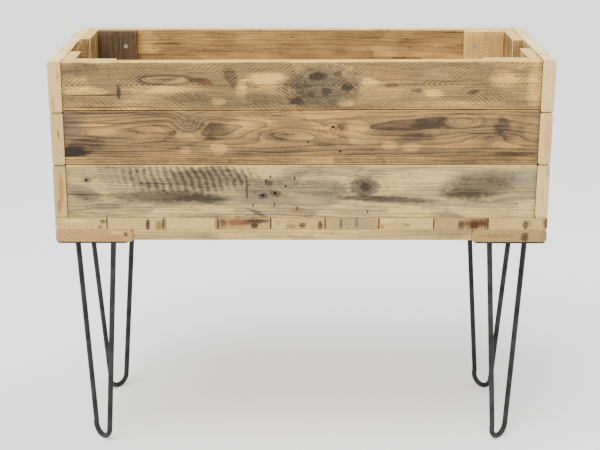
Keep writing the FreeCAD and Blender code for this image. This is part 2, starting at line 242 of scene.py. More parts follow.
# %% [markdown]
# One function makes every kind of pine in the planter. It works out how pale each point is, on a
# scale from 0 to 1, by adding up what happened to the board: rings, fibres, uneven sanding, saw
# marks and dirt. A ramp of five colours turns that into wood. Stains, knots and cracks come last.
# %% Pine: the material
def pine(name, **changes):
    """A pine material. The changes are made to the plain look."""
    look = {**PLAIN_LOOK, **changes}
    material, tree = new_material(name)
    place = add(tree, "Attribute", out="Vector", attribute_name="grain")
    number = add(tree, "Attribute", out="Fac", attribute_name="board_number")
    pith = add(tree, "Attribute", out="Vector", attribute_name="pith")
    end = add(tree, "Attribute", out="Fac", attribute_name="end_grain")
    apart = add(tree, "VectorMath", {0: (731.0, 313.0, 517.0), "Scale": number}, operation="SCALE")
    own_place = add(tree, "VectorMath", {0: place, 1: apart}, operation="ADD")

    pattern = {}
    for key, (length, width, detail) in PATTERNS.items():
        stretched = add(tree, "Mapping", {
            "Vector": own_place, "Scale": (1 / length, 1 / width, 1 / width)})
        pattern[key] = add(tree, "TexNoise", {"Vector": stretched, "Scale": 1.0, "Detail": detail})

    # Rings: the distance from the pith, pushed about by noise and by the knots.
    from_pith = add(tree, "VectorMath", {0: place, 1: pith}, operation="SUBTRACT")
    from_pith = add(tree, "VectorMath", {0: from_pith, 1: (0.0, 1.0, 1.0)}, operation="MULTIPLY")
    radius = add(tree, "VectorMath", {0: from_pith}, out="Value", operation="LENGTH")
    radius = add(tree, "Math", {0: pattern["drift"], 1: look["drift"], 2: radius}, operation="MULTIPLY_ADD")
    radius = add(tree, "Math", {0: pattern["wobble"], 1: 5.0, 2: radius}, operation="MULTIPLY_ADD")

    knots = []                  # how much of a knot each point is, and how near its middle
    if look["wild_knots"]:
        spread = add(tree, "Mapping", {"Vector": own_place, "Scale": (1 / 150, 1 / 95, 0.0)})
        cells = add(tree, "TexVoronoi", {"Vector": spread, "Scale": 1.0}, out="Distance")
        cell_colour = add(tree, "TexVoronoi", {"Vector": spread, "Scale": 1.0}, out="Color")
        chosen = add(tree, "Math", {0: cell_colour, 1: 0.62}, operation="GREATER_THAN")
        near = add(tree, "MapRange", {
            "Value": cells, "From Min": 0.42, "From Max": 0.0, "To Min": 0.0, "To Max": 1.0})
        near = add(tree, "Math", {0: near, 1: chosen}, operation="MULTIPLY")
        push = add(tree, "Math", {0: near, 1: 2.5}, operation="POWER")
        radius = add(tree, "Math", {0: push, 1: 16.0, 2: radius}, operation="MULTIPLY_ADD")
        ragged = add(tree, "Math", {0: pattern["edge"], 1: 0.12, 2: near}, operation="MULTIPLY_ADD")
        here = add(tree, "MapRange", {
            "Value": ragged, "From Min": 0.87, "From Max": 0.93, "To Max": 0.9 * look["wild_knots"]})
        knots.append((here, near))
    for along, across, half_length, half_width, darkness in look["knots"]:
        centred = add(tree, "Mapping", {
            "Vector": place, "Location": (along, across, 0.0),
            "Scale": (3 * half_length, 3 * half_width, FAR)}, vector_type="TEXTURE")
        near = add(tree, "TexGradient", {"Vector": centred}, out="Fac", gradient_type="SPHERICAL")
        push = add(tree, "Math", {0: near, 1: 2.0}, operation="POWER")
        radius = add(tree, "Math", {0: push, 1: 1.6 * half_width + 3.0, 2: radius}, operation="MULTIPLY_ADD")
        ragged = add(tree, "Math", {0: pattern["edge"], 1: 0.5, 2: near}, operation="MULTIPLY_ADD")
        here = add(tree, "MapRange", {
            "Value": ragged, "From Min": 0.84, "From Max": 1.0, "To Max": darkness})
        knots.append((here, near))

    turns = add(tree, "Math", {0: radius, 1: look["ring"]}, operation="DIVIDE")
    part_turn = add(tree, "Math", {0: turns}, operation="FRACT")
    ring = add(tree, "Math", {0: part_turn, 1: 2.2}, operation="POWER")

    # Uneven sanding leaves blocks with sharp sides, as wide as the belt was wide.
    blocks_at = add(tree, "Mapping", {"Vector": own_place, "Scale": (1 / 85, 1 / 34, 0.0)})
    blocks_at = add(tree, "VectorMath", {0: blocks_at, 1: pattern["patch"]}, operation="ADD")
    block = add(tree, "TexVoronoi", {"Vector": blocks_at, "Scale": 1.0}, out="Color", distance="CHEBYCHEV")
    block = add(tree, "MapRange", {"Value": block, "From Min": 0.3, "From Max": 0.7, "To Min": -1.0})
    fade = add(tree, "MapRange", {"Value": pattern["tone"], "From Min": 0.4, "From Max": 0.6})
    block = add(tree, "Math", {0: block, 1: fade}, operation="MULTIPLY")

    # Saw marks: dark troughs in rows across the board.
    along_board = add(tree, "SeparateXYZ", {0: place}, out="X")
    across_board = add(tree, "SeparateXYZ", {0: from_pith}, out="Y")
    lean = across_board
    if look["saw_mirrored"]:
        lean = add(tree, "Math", {0: across_board}, operation="ABSOLUTE")
    row = add(tree, "Math", {0: lean, 1: -look["saw_lean"], 2: along_board}, operation="MULTIPLY_ADD")
    row = add(tree, "Math", {0: pattern["tone"], 1: 2 * look["saw_pitch"], 2: row},
              operation="MULTIPLY_ADD")
    row = add(tree, "Math", {0: pattern["patch"], 1: 5.0, 2: row}, operation="MULTIPLY_ADD")
    row = add(tree, "Math", {0: row, 1: 2 * math.pi / look["saw_pitch"]}, operation="MULTIPLY")
    wave = add(tree, "Math", {0: row}, operation="SINE")
    wave = add(tree, "Math", {0: pattern["edge"], 1: 3.6, 2: wave}, operation="MULTIPLY_ADD")
    saw = add(tree, "MapRange", {"Value": wave, "From Min": 1.2, "From Max": 3.0})
    if look["saw_area"]:
        along, up, half_length, half_width = look["saw_area"]
        centred = add(tree, "Mapping", {
            "Vector": place, "Location": (along, up, 0.0),
            "Scale": (half_length, half_width, FAR)}, vector_type="TEXTURE")
        area = add(tree, "TexGradient", {"Vector": centred}, out="Fac", gradient_type="SPHERICAL")
        area = add(tree, "Math", {0: pattern["edge"], 1: 0.3, 2: area}, operation="MULTIPLY_ADD")
        area = add(tree, "MapRange", {"Value": area, "From Min": 0.25, "From Max": 0.6})
    else:
        area = add(tree, "MapRange", {"Value": pattern["patch"], "From Min": 0.42, "From Max": 0.62})
    saw = add(tree, "Math", {0: saw, 1: area}, operation="MULTIPLY")
    sanded = add(tree, "Attribute", out="Fac", attribute_name="sanded")
    sanded = add(tree, "Math", {0: pattern["edge"], 1: 0.7, 2: sanded}, operation="MULTIPLY_ADD")
    rough = add(tree, "MapRange", {"Value": sanded, "From Min": 0.75, "From Max": 0.45})
    saw = add(tree, "Math", {0: saw, 1: rough}, operation="MULTIPLY")

    # Dirt stays in the pores of the duller places.
    speck = add(tree, "MapRange", {"Value": pattern["speck"], "From Min": 0.56, "From Max": 0.68})
    duller = add(tree, "MapRange", {"Value": pattern["patch"], "From Min": 0.56, "From Max": 0.42})
    speck = add(tree, "Math", {0: speck, 1: duller}, operation="MULTIPLY")

    # How pale each point is, from 0 to 1. The noises are centred on a half.
    uneven = 1.1 * look["patches"]
    base = look["level"] - 0.5 * (1.0 + look["fibres"] + uneven) + 0.35 * look["ring_contrast"] \
        + 0.3 * look["saw"]
    tone = add(tree, "Math", {0: pattern["tone"], 1: 1.0, 2: base}, operation="MULTIPLY_ADD")
    tone = add(tree, "Math", {0: pattern["fibre"], 1: look["fibres"], 2: tone}, operation="MULTIPLY_ADD")
    tone = add(tree, "Math", {0: pattern["patch"], 1: uneven, 2: tone}, operation="MULTIPLY_ADD")
    tone = add(tree, "Math", {0: block, 1: 0.22 * look["patches"], 2: tone}, operation="MULTIPLY_ADD")
    tone = add(tree, "Math", {0: ring, 1: -look["ring_contrast"], 2: tone}, operation="MULTIPLY_ADD")
    tone = add(tree, "Math", {0: saw, 1: -look["saw"], 2: tone}, operation="MULTIPLY_ADD")
    tone = add(tree, "Math", {0: speck, 1: -look["specks"], 2: tone}, operation="MULTIPLY_ADD")

    # A sawn end is paler, with clear rings.
    end_tone = add(tree, "Math", {0: ring, 1: -0.3, 2: look["end_level"] - 0.2}, operation="MULTIPLY_ADD")
    end_tone = add(tree, "Math", {0: pattern["speck"], 1: 0.6, 2: end_tone}, operation="MULTIPLY_ADD")
    end_tone = add(tree, "Math", {0: speck, 1: -look["specks"], 2: end_tone}, operation="MULTIPLY_ADD")
    tone = add(tree, "Mix", {0: end, 2: tone, 3: end_tone}, data_type="FLOAT")

    # Places that were dirtied or sanded, each one broken up by the grain.
    blots = [((along, up, 0.0), (half_length, half_width, FAR), turn, change)
             for along, up, half_length, half_width, turn, change in look["marks"]]
    blots += [((FRONT_END, across, through), (END_DEPTH, half_width, half_height), 0.0, change)
              for across, through, half_width, half_height, change in look["end_marks"]]
    blots += [((along, up, 0.0), (half_length, half_width, FAR), turn, (colour, strength))
              for along, up, half_length, half_width, turn, colour, strength in look["tints"]]
    blots += [((FRONT_END, across, through), (END_DEPTH, half_width, half_height), 0.0, (colour, strength))
              for across, through, half_width, half_height, colour, strength in look["end_tints"]]
    tinted = []
    for centre, half_sizes, turn, change in blots:
        centred = add(tree, "Mapping", {
            "Vector": place, "Location": centre, "Rotation": (0.0, 0.0, math.radians(turn)),
            "Scale": half_sizes}, vector_type="TEXTURE")
        near = add(tree, "TexGradient", {"Vector": centred}, out="Fac", gradient_type="SPHERICAL")
        broken = add(tree, "Math", {0: pattern["edge"], 1: 0.8, 2: near}, operation="MULTIPLY_ADD")
        broken = add(tree, "Math", {0: pattern["fibre"], 1: 0.7, 2: broken}, operation="MULTIPLY_ADD")
        share = add(tree, "MapRange", {
            "Value": broken, "From Min": 0.72, "From Max": 1.32}, interpolation_type="SMOOTHSTEP")
        # The noises alone could pass the limit, so a mark is kept inside its own oval.
        inside = add(tree, "MapRange", {"Value": near, "From Max": 0.2})
        share = add(tree, "Math", {0: share, 1: inside}, operation="MULTIPLY")
        if isinstance(change, tuple):
            tinted.append((share, *change))
        else:
            tone = add(tree, "Math", {0: share, 1: change, 2: tone}, operation="MULTIPLY_ADD")

    # Rings that a knot or a flat cut leaves as ovals.
    for along, up, half_length, half_width, lines, darkness in look["arcs"]:
        centred = add(tree, "Mapping", {
            "Vector": place, "Location": (along, up, 0.0),
            "Scale": (half_length, half_width, FAR)}, vector_type="TEXTURE")
        near = add(tree, "TexGradient", {"Vector": centred}, out="Fac", gradient_type="SPHERICAL")
        inside = add(tree, "MapRange", {"Value": near, "From Max": 0.03})
        bent = add(tree, "Math", {0: pattern["wobble"], 1: 0.25, 2: near}, operation="MULTIPLY_ADD")
        turns = add(tree, "Math", {0: bent, 1: lines}, operation="MULTIPLY")
        part_turn = add(tree, "Math", {0: turns}, operation="FRACT")
        line = add(tree, "Math", {0: part_turn, 1: 3.0}, operation="POWER")
        line = add(tree, "Math", {0: line, 1: inside}, operation="MULTIPLY")
        tone = add(tree, "Math", {0: line, 1: -darkness, 2: tone}, operation="MULTIPLY_ADD")

    if look["pith_line"]:
        from_line = add(tree, "Math", {0: pattern["wobble"], 1: 5.0, 2: across_board},
                        operation="MULTIPLY_ADD")
        from_line = add(tree, "Math", {0: from_line, 1: -2.5}, operation="ADD")
        from_line = add(tree, "Math", {0: from_line}, operation="ABSOLUTE")
        line = add(tree, "MapRange", {"Value": from_line, "From Min": 1.6, "From Max": 0.2})
        tone = add(tree, "Math", {0: line, 1: -look["pith_line"], 2: tone}, operation="MULTIPLY_ADD")

    # The arrises are sanded last.
    sanded = add(tree, "MapRange", {"Value": sanded, "From Min": 0.6, "From Max": 1.2, "To Max": 0.5})
    tone = add(tree, "Math", {0: tone, 1: sanded}, operation="ADD")

    ramp = tree.nodes.new("ShaderNodeValToRGB")
    tree.links.new(tone, ramp.inputs[0])
    stops = ramp.color_ramp.elements
    for _ in look["tones"][2:]:
        stops.new(0.5)
    for i, tone_colour in enumerate(look["tones"]):
        stops[i].position = i / (len(look["tones"]) - 1)
        stops[i].color = linear(tone_colour)
    colour = ramp.outputs["Color"]

    # Stains keep the light and dark of the wood under them.
    depth = add(tree, "MapRange", {"Value": tone, "To Min": 0.45, "To Max": 1.5})
    for share, stain_colour, strength in tinted:
        stain = add(tree, "VectorMath", {0: linear(stain_colour)[:3], "Scale": depth}, operation="SCALE")
        share = add(tree, "Math", {0: share, 1: strength}, operation="MULTIPLY")
        colour = add(tree, "Mix", {0: share, 6: colour, 7: stain}, out=2, data_type="RGBA")

    # Knots have rings of their own. Fine cracks run along the grain, and the joints between boards are
    # darkened with painted shade.
    for here, near in knots:
        bent = add(tree, "Math", {0: pattern["edge"], 1: 0.5, 2: near}, operation="MULTIPLY_ADD")
        turns = add(tree, "Math", {0: bent, 1: 9.0}, operation="MULTIPLY")
        part_turn = add(tree, "Math", {0: turns}, operation="FRACT")
        knot = add(tree, "Mix", {
            0: part_turn, 6: linear(KNOT_DARK), 7: linear(KNOT_PALE)}, out=2, data_type="RGBA")
        colour = add(tree, "Mix", {0: here, 6: colour, 7: knot}, out=2, data_type="RGBA")
    crack = add(tree, "MapRange", {"Value": pattern["crack"], "From Min": 0.69, "From Max": 0.73})
    not_end = add(tree, "Math", {0: 0.85, 1: end}, operation="SUBTRACT", use_clamp=True)
    crack = add(tree, "Math", {0: crack, 1: not_end}, operation="MULTIPLY")
    # Painted shade: the covered faces of a joint and the edges next to them are darkened as if shaded.
    joint_shade = add(tree, "Attribute", out="Fac", attribute_name="joint_shade")
    share = add(tree, "Math", {0: crack, 1: joint_shade}, operation="MAXIMUM")
    colour = add(tree, "Mix", {0: share, 6: colour, 7: linear(CRACK_AND_JOINT_SHADE)}, out=2, data_type="RGBA")

    # The same marks as relief, and duller wood where it is dirty.
    height = add(tree, "Math", {0: tone, 1: 0.6, 2: pattern["fibre"]}, operation="MULTIPLY_ADD")
    height = add(tree, "Math", {0: saw, 1: -0.8, 2: height}, operation="MULTIPLY_ADD")
    height = add(tree, "Math", {0: crack, 1: -2.0, 2: height}, operation="MULTIPLY_ADD")
    normal = add(tree, "Bump", {"Height": height, "Strength": 0.6, "Distance": 0.6 * MM})
    roughness = add(tree, "MapRange", {"Value": tone, "To Min": 0.85, "To Max": 0.66})
    shader = add(tree, "BsdfPrincipled", {
        "Base Color": colour, "Roughness": roughness, "Normal": normal,
        "IOR": 1.5, "Specular IOR Level": 0.25})
    finish_material(tree, shader)
    return material


# %% [markdown]
# ## Shaping a board
# A board starts as a cube of the drawn size. Its four long arrises are rounded by use, its ends are
# crisp saw cuts, and after that it is sliced into short lengths so that the wear can be uneven. The
# wear only takes wood away, so a board never grows past its drawing.
#
# A board could also be copied from the drawing and left as it is, but then every edge in the planter
# would have the same perfect radius, and that is what makes a model look new.
# %% Which way the grain runs
AXES = {"x": 0, "y": 1, "z": 2}


def grain_axis(node):
    """Cleats stand upright, wall boards and rails lie along the trough, the others cross it."""
    if "cleat" in node:
        return AXES["z"]
    if node.startswith(("front_", "back_")):
        return AXES["x"]
    return AXES["y"]


def end_limits(node, axis):
    """The lowest and highest corners of each end of a drawn board, which may taper."""
    low, high = (Vector(corner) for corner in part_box(node))
    vertices = [vertex.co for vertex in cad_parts[node].data.vertices]
    reach = 1 * MM
    limits = []
    for end in (low[axis], high[axis]):
        near = [point for point in vertices if abs(point[axis] - end) < reach]
        corner_low = Vector([min(point[i] for point in near) for i in range(3)])
        corner_high = Vector([max(point[i] for point in near) for i in range(3)])
        limits.append((corner_low, corner_high))
    return limits


print("front_board_top has its grain along axis", grain_axis("front_board_top"))


# %% Cut, round and wear a board
def slice_across(shape, axis, places):
    """Cut the shape at each place along an axis, keeping both sides."""
    direction = Vector((0, 0, 0))
    direction[axis] = 1.0
    for place in places:
        geometry = shape.verts[:] + shape.edges[:] + shape.faces[:]
        bmesh.ops.bisect_plane(shape, geom=geometry, plane_co=direction * place, plane_no=direction)


def spaced(start, end, step):
    """Places between two ends, about a step apart."""
    count = max(1, round((end - start) / step))
    return [start + (end - start) * i / count for i in range(1, count)]


def board_shape(node, arris=3.2 * MM, step=12 * MM):
    """A straight board with the size of a drawn one, its three axes and its limits."""
    along = grain_axis(node)
    (low, high), (_, far_high) = end_limits(node, along)
    high[along] = far_high[along]
    others = sorted((i for i in range(3) if i != along), key=lambda i: high[i] - low[i])
    through, across = others

    shape = bmesh.new()
    bmesh.ops.create_cube(shape, size=1.0)
    for vertex in shape.verts:
        for i in range(3):
            vertex.co[i] = high[i] if vertex.co[i] > 0 else low[i]

    def runs_along(edge):
        run = edge.verts[1].co - edge.verts[0].co
        return abs(run[along]) > 0.9 * run.length

    long_edges = [edge for edge in shape.edges if runs_along(edge)]
    bmesh.ops.bevel(shape, geom=long_edges, offset=arris, affect="EDGES",
                    segments=4, profile=0.5, material=-1)
    shape.faces.ensure_lookup_table()
    end_edges = set()
    for face in shape.faces:
        if abs(face.normal[along]) > 0.9:
            end_edges.update(face.edges)
    bmesh.ops.bevel(shape, geom=list(end_edges), offset=0.7 * MM, affect="EDGES",
                    segments=2, profile=0.5, material=-1)

    slice_across(shape, along, spaced(low[along], high[along], step))
    inner = 1.2 * arris + 1 * MM
    for axis in (across, through):
        near, far = low[axis] + inner, high[axis] - inner
        if far > near:
            slice_across(shape, axis, [near] + spaced(near, far, step) + [far])
    bmesh.ops.recalc_face_normals(shape, faces=shape.faces)
    return shape, (along, across, through), (low, high)


def wear(shape, axes, limits, number, arris=3.2 * MM, depth=0.5 * MM):
    """Take a little wood off unevenly: most at the arrises, with a deeper chip here and there."""
    along, across, through = axes
    low, high = limits
    centre = (low + high) / 2
    for vertex in shape.verts:
        point = vertex.co * 1000
        to_edge = []
        inward = Vector((0, 0, 0))
        for axis in (across, through):
            side = 1 if vertex.co[axis] > centre[axis] else -1
            face = high[axis] if side > 0 else low[axis]
            to_edge.append(max(0.0, abs(face - vertex.co[axis])))
            inward[axis] = -side
        nearness = max(0.0, 1 - max(to_edge) / (2 * arris))
        rough = noise.noise(Vector((point[along] / 38, number * 7.3, inward[across] + 3 * inward[through])))
        chip = noise.noise(Vector((point[along] / 9, number * 3.1, 5 * inward[across] + inward[through])))
        taken = depth * (0.35 + 0.5 * rough) * nearness + 1.6 * MM * max(0.0, chip - 0.42) * nearness
        vertex.co += inward.normalized() * max(0.0, taken)


# %% [markdown]
# Some of the wall boards are a little wider at one end. They are shaped, cut and marked as straight
# boards, because that keeps the sums simple, and squeezed to the drawn taper at the very end.
#
# The material needs some facts about every point of a board, and the mesh carries them: where it is
# along, across and through the board, where the pith of the log was, the number of the board,
# whether the point is on a sawn end, how much it was sanded, and how much painted shade it gets in a
# joint.
# %% Write the facts that the pine material reads, and taper the board
JOINT_SHADE_DEPTH = 0.9 * MM          # how far the painted shade of a joint reaches from a covered face
RIM_SANDED = 0.6 * MM           # wood this near to the top of a wall was sanded flat


def mark_board(mesh, axes, limits, number, pith, rim, open_side, joints, shade_end_joints):
    """Store the facts on the mesh. The rim is sanded, and the covered narrow faces of joints get painted
    shade.

    The open side, "low" or "high", is a narrow face that no neighbour covers.
    """
    along, across, through = axes
    low, high = limits
    centre = (low + high) / 2
    for name, kind, domain in (
            ("grain", "FLOAT_VECTOR", "POINT"), ("pith", "FLOAT_VECTOR", "POINT"),
            ("board_number", "FLOAT", "POINT"), ("sanded", "FLOAT", "POINT"),
            ("joint_shade", "FLOAT", "POINT"), ("end_grain", "FLOAT", "FACE")):
        mesh.attributes.new(name, kind, domain)
    grain = mesh.attributes["grain"].data
    piths = mesh.attributes["pith"].data
    numbers = mesh.attributes["board_number"].data
    sanded = mesh.attributes["sanded"].data
    joint_shade = mesh.attributes["joint_shade"].data
    end = mesh.attributes["end_grain"].data
    reach = 3.2 * MM                # how far the sanding of an arris spreads
    for i, vertex in enumerate(mesh.vertices):
        offset = (vertex.co - centre) / MM
        grain[i].vector = (offset[along], offset[across], offset[through])
        piths[i].vector = (0.0, pith[0], pith[1])
        numbers[i].value = number
        to_low, to_high = abs(vertex.co[across] - low[across]), abs(high[across] - vertex.co[across])
        to_across = min(to_low, to_high)
        to_through = min(abs(vertex.co[through] - low[through]), abs(high[through] - vertex.co[through]))
        nearness = max(0.0, 1 - max(to_across, to_through) / reach)
        # Painted shade: points near a covered narrow face, or near a covered end of a front or back board,
        # are darkened as if shaded in the joint.
        covered = {"high": to_low, "low": to_high, None: to_across}[open_side]
        joint_shade_here = max(0.0, 1 - covered / JOINT_SHADE_DEPTH) if joints else 0.0
        if shade_end_joints:
            to_end = min(abs(vertex.co[along] - low[along]), abs(high[along] - vertex.co[along]))
            joint_shade_here = max(joint_shade_here, 1 - to_end / JOINT_SHADE_DEPTH)
        if rim and to_high < RIM_SANDED:
            nearness = 1.0
        sanded[i].value = nearness
        joint_shade[i].value = joint_shade_here
    for i, polygon in enumerate(mesh.polygons):
        end[i].value = 1.0 if abs(polygon.normal[along]) > 0.8 else 0.0


def taper(mesh, node, axes, limits):
    """Squeeze a straight board to the drawn section at each of its ends."""
    along = axes[0]
    low, high = limits
    (near_low, near_high), (far_low, far_high) = end_limits(node, along)
    for vertex in mesh.vertices:
        way = (vertex.co[along] - low[along]) / (high[along] - low[along])
        for axis in axes[1:]:
            bottom = near_low[axis] + (far_low[axis] - near_low[axis]) * way
            top = near_high[axis] + (far_high[axis] - near_high[axis]) * way
            share = (vertex.co[axis] - low[axis]) / (high[axis] - low[axis])
            vertex.co[axis] = bottom + (top - bottom) * share


def put_in_place(mesh, name, nodes, material):
    """Make the finished piece: it stands for the drawn nodes and rides on the one body."""
    if not mesh.polygons:
        raise ValueError(name + " has no faces, so it would hide the drawn nodes and show nothing")
    mesh.materials.append(material)
    piece = bpy.data.objects.new(name, mesh)
    bpy.context.scene.collection.objects.link(piece)
    for polygon in mesh.polygons:
        polygon.use_smooth = True
    mesh.set_sharp_from_angle(angle=math.radians(32))
    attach(piece, "root")
    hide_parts(*nodes)
    return piece


# %% [markdown]
# Nail holes, staple holes and countersinks are real holes, cut with a boolean. The cutters are made
# together as one mesh and thrown away afterwards.
# %% Cut holes
def cut_away(mesh, cutters):
    """The mesh with the cutters' shapes taken out of it."""
    cutter_mesh = bpy.data.meshes.new("cutters")
    cutters.to_mesh(cutter_mesh)
    cutters.free()
    wood = bpy.data.objects.new("wood", mesh)
    tool = bpy.data.objects.new("tool", cutter_mesh)
    for item in (wood, tool):
        bpy.context.scene.collection.objects.link(item)
    boolean = wood.modifiers.new("holes", "BOOLEAN")
    boolean.operation = "DIFFERENCE"
    boolean.solver = "EXACT"
    boolean.object = tool
    bpy.context.view_layer.update()
    depsgraph = bpy.context.evaluated_depsgraph_get()
    result = bpy.data.meshes.new_from_object(wood.evaluated_get(depsgraph))
    for item in (wood, tool):
        bpy.data.objects.remove(item)
    bpy.data.meshes.remove(cutter_mesh)
    return result


PEG_SIDES = 12


def add_peg(shape, centre, direction, radius, length, sides=PEG_SIDES, squash=1.0):
    """Add a round or flattened peg to a set of cutters, centred on a point of the surface."""
    turn = direction.to_track_quat("Z", "Y").to_matrix().to_4x4()
    flatten = Matrix.Diagonal((squash, 1.0, 1.0, 1.0))
    bmesh.ops.create_cone(shape, cap_ends=True, segments=sides, radius1=radius, radius2=radius,
                          depth=length, matrix=Matrix.Translation(centre) @ turn @ flatten)


print("A hole is cut with a peg of", PEG_SIDES, "sides")

# %% [markdown]
# ## The boards of the planter
# Every board gets its own number, which shifts the noise, and its own pith, which decides whether
# its face shows straight lines or arches. The seeded draw gives the same planter every time.
# %% Pine: one board
draw = random.Random(9338)
board_numbers = {}
OUTER_FLOOR_BOARDS = {"floor_board_1": "low", "floor_board_9": "high"}      # and their open sides


def make_board(node, material, pith=None, arris=3.2 * MM, holes=(), step=12 * MM):
    """Make the worn board that stands for a drawn one. Holes are functions that add cutters."""
    board_numbers[node] = len(board_numbers) + 1
    number = board_numbers[node]
    drawn_pith = (draw.uniform(-30, 30), draw.choice((-1, 1)) * draw.uniform(14, 55))
    pith = pith or drawn_pith
    shape, axes, limits = board_shape(node, arris, step)
    wear(shape, axes, limits, number, arris)
    mesh = bpy.data.meshes.new(node + "_wood")
    shape.to_mesh(mesh)
    shape.free()
    if holes:
        cutters = bmesh.new()
        for hole in holes:
            hole(cutters)
        mesh = cut_away(mesh, cutters)
    wall = "board" in node
    rim = node.endswith("_top")
    open_side = "high" if rim else OUTER_FLOOR_BOARDS.get(node)
    # Wall boards get painted shade in their joints, and front and back boards also at their covered ends.
    mark_board(mesh, axes, limits, number, pith, rim=rim, open_side=open_side, joints=wall,
               shade_end_joints=wall and axes[0] == AXES["x"])
    taper(mesh, node, axes, limits)
    return put_in_place(mesh, node + "_board", [node], material)


# %% [markdown]
# The three boards of the front are the ones that everyone sees. Each has its own history: the top
# one was sawn through the pith, so its saw marks meet in a herringbone, the middle one was planed
# by wear and has a dark stain in a corner, and the bottom one kept its coarse saw marks and old
# fixing holes.
# Places on a board are in millimetres from its middle, along it and up.
# %% Front boards: where the holes are
FACE = low_corner.y                 # the plane of the front faces


def front_hole(node, along, up, radius=1.9, depth=9.0, squash=1.0, lean=0.0):
    """A cutter for a hole in the front face of a board. A squashed one is a staple's slot."""
    low, high = (Vector(corner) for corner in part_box(node))
    centre = Vector(((low.x + high.x) / 2 + along * MM, FACE, (low.z + high.z) / 2 + up * MM))

    def cut(cutters):
        direction = Vector((math.sin(math.radians(lean)) * 0.2, 1, 0.03)).normalized()
        add_peg(cutters, centre, direction, radius * MM, 2 * depth * MM, squash=squash)
    return cut


def staple_slots(node, places):
    return [front_hole(node, along, up, radius=4.0, depth=3.5, squash=0.36, lean=lean)
            for along, up, lean in places]


middle_holes = [front_hole("front_board_middle", along, up, radius)
                for along, up, radius in ((11, -17, 1.8), (55, 10, 2.3), (68, -34, 1.9))]
bottom_holes = [front_hole("front_board_bottom", along, up, radius)
                for along, up, radius in ((-69, -8, 2.4), (-47, -4, 2.6), (-381, 20, 2.2), (-28, 9, 2.0))]
bottom_holes += staple_slots("front_board_bottom", (
    (-55, 26, 5), (-12, 23, -4), (-86, -26, 8), (-48, -25, -6), (-8, -31, 3), (-63, 19, 12), (118, -37, 2)))
print("The front has", len(middle_holes) + len(bottom_holes), "old holes")

# %% Front board: top
make_board("front_board_top", pine(
    "herringbone sawn pallet pine",
    tones=("#483c2d", "#6a5739", "#886f46", "#ae8a4e", "#dfb55c"),
    ring=3.6, ring_contrast=0.14, saw=0.42, saw_pitch=9.5, saw_lean=1.4, saw_mirrored=True,
    pith_line=0.3, wild_knots=0.0, drift=16.0, patches=0.7, specks=0.35,
    knots=((26, 16, 14, 8, 1.0), (62, 20, 7, 5, 0.7), (80, -4, 11, 7, 0.95), (43, -10, 8, 6, 0.85),
           (15, -16, 7, 5, 0.8), (-9, -27, 12, 7, 1.0), (-4, -8, 7, 6, 0.45)),
    marks=((-375, -9, 50, 12, 0, 0.34), (-400, 30, 60, 20, 0, -0.2), (-318, -10, 5, 16, 0, -0.6),
           (-240, -6, 90, 8, 0, 0.3), (-200, -21, 50, 12, 0, -0.2), (-145, -28, 18, 9, 0, 0.4),
           (-172, 9, 22, 7, -10, -0.35), (-122, 14, 26, 14, -60, -0.3), (-62, 13, 46, 13, 0, 0.42),
           (-105, -6, 14, 22, 0, 0.3), (-60, -20, 50, 16, 0, -0.15), (35, -2, 85, 52, 0, -0.3),
           (76, -31, 18, 9, 0, 0.4), (155, 0, 16, 6, 0, -0.35), (118, 6, 22, 10, 0, 0.3),
           (230, -15, 22, 9, 0, 0.4), (200, -9, 14, 5, 0, -0.3), (298, -12, 16, 5, 12, -0.4),
           (350, 12, 34, 20, 0, 0.25), (405, -5, 18, 60, 0, 0.3), (262, -33, 120, 8, 0, 0.25)),
    arcs=((-235, 11, 84, 13, 1.6, 0.65), (45, 2, 60, 40, 3.0, 0.14), (-4, -8, 16, 13, 2.5, 0.4)),
    tints=((38, 0, 78, 46, 0, "#726750", 0.55), (147, 22, 52, 20, 0, "#a27a46", 0.6),
           (-60, 14, 48, 14, 0, "#c9a056", 0.6), (225, 22, 40, 20, 0, "#8a7550", 0.4),
           (-172, 9, 22, 7, -10, "#7e5a33", 0.7), (200, -9, 14, 5, 0, "#5c523f", 0.7))),
    pith=(2.0, -10.5), arris=2.4 * MM, step=8 * MM)

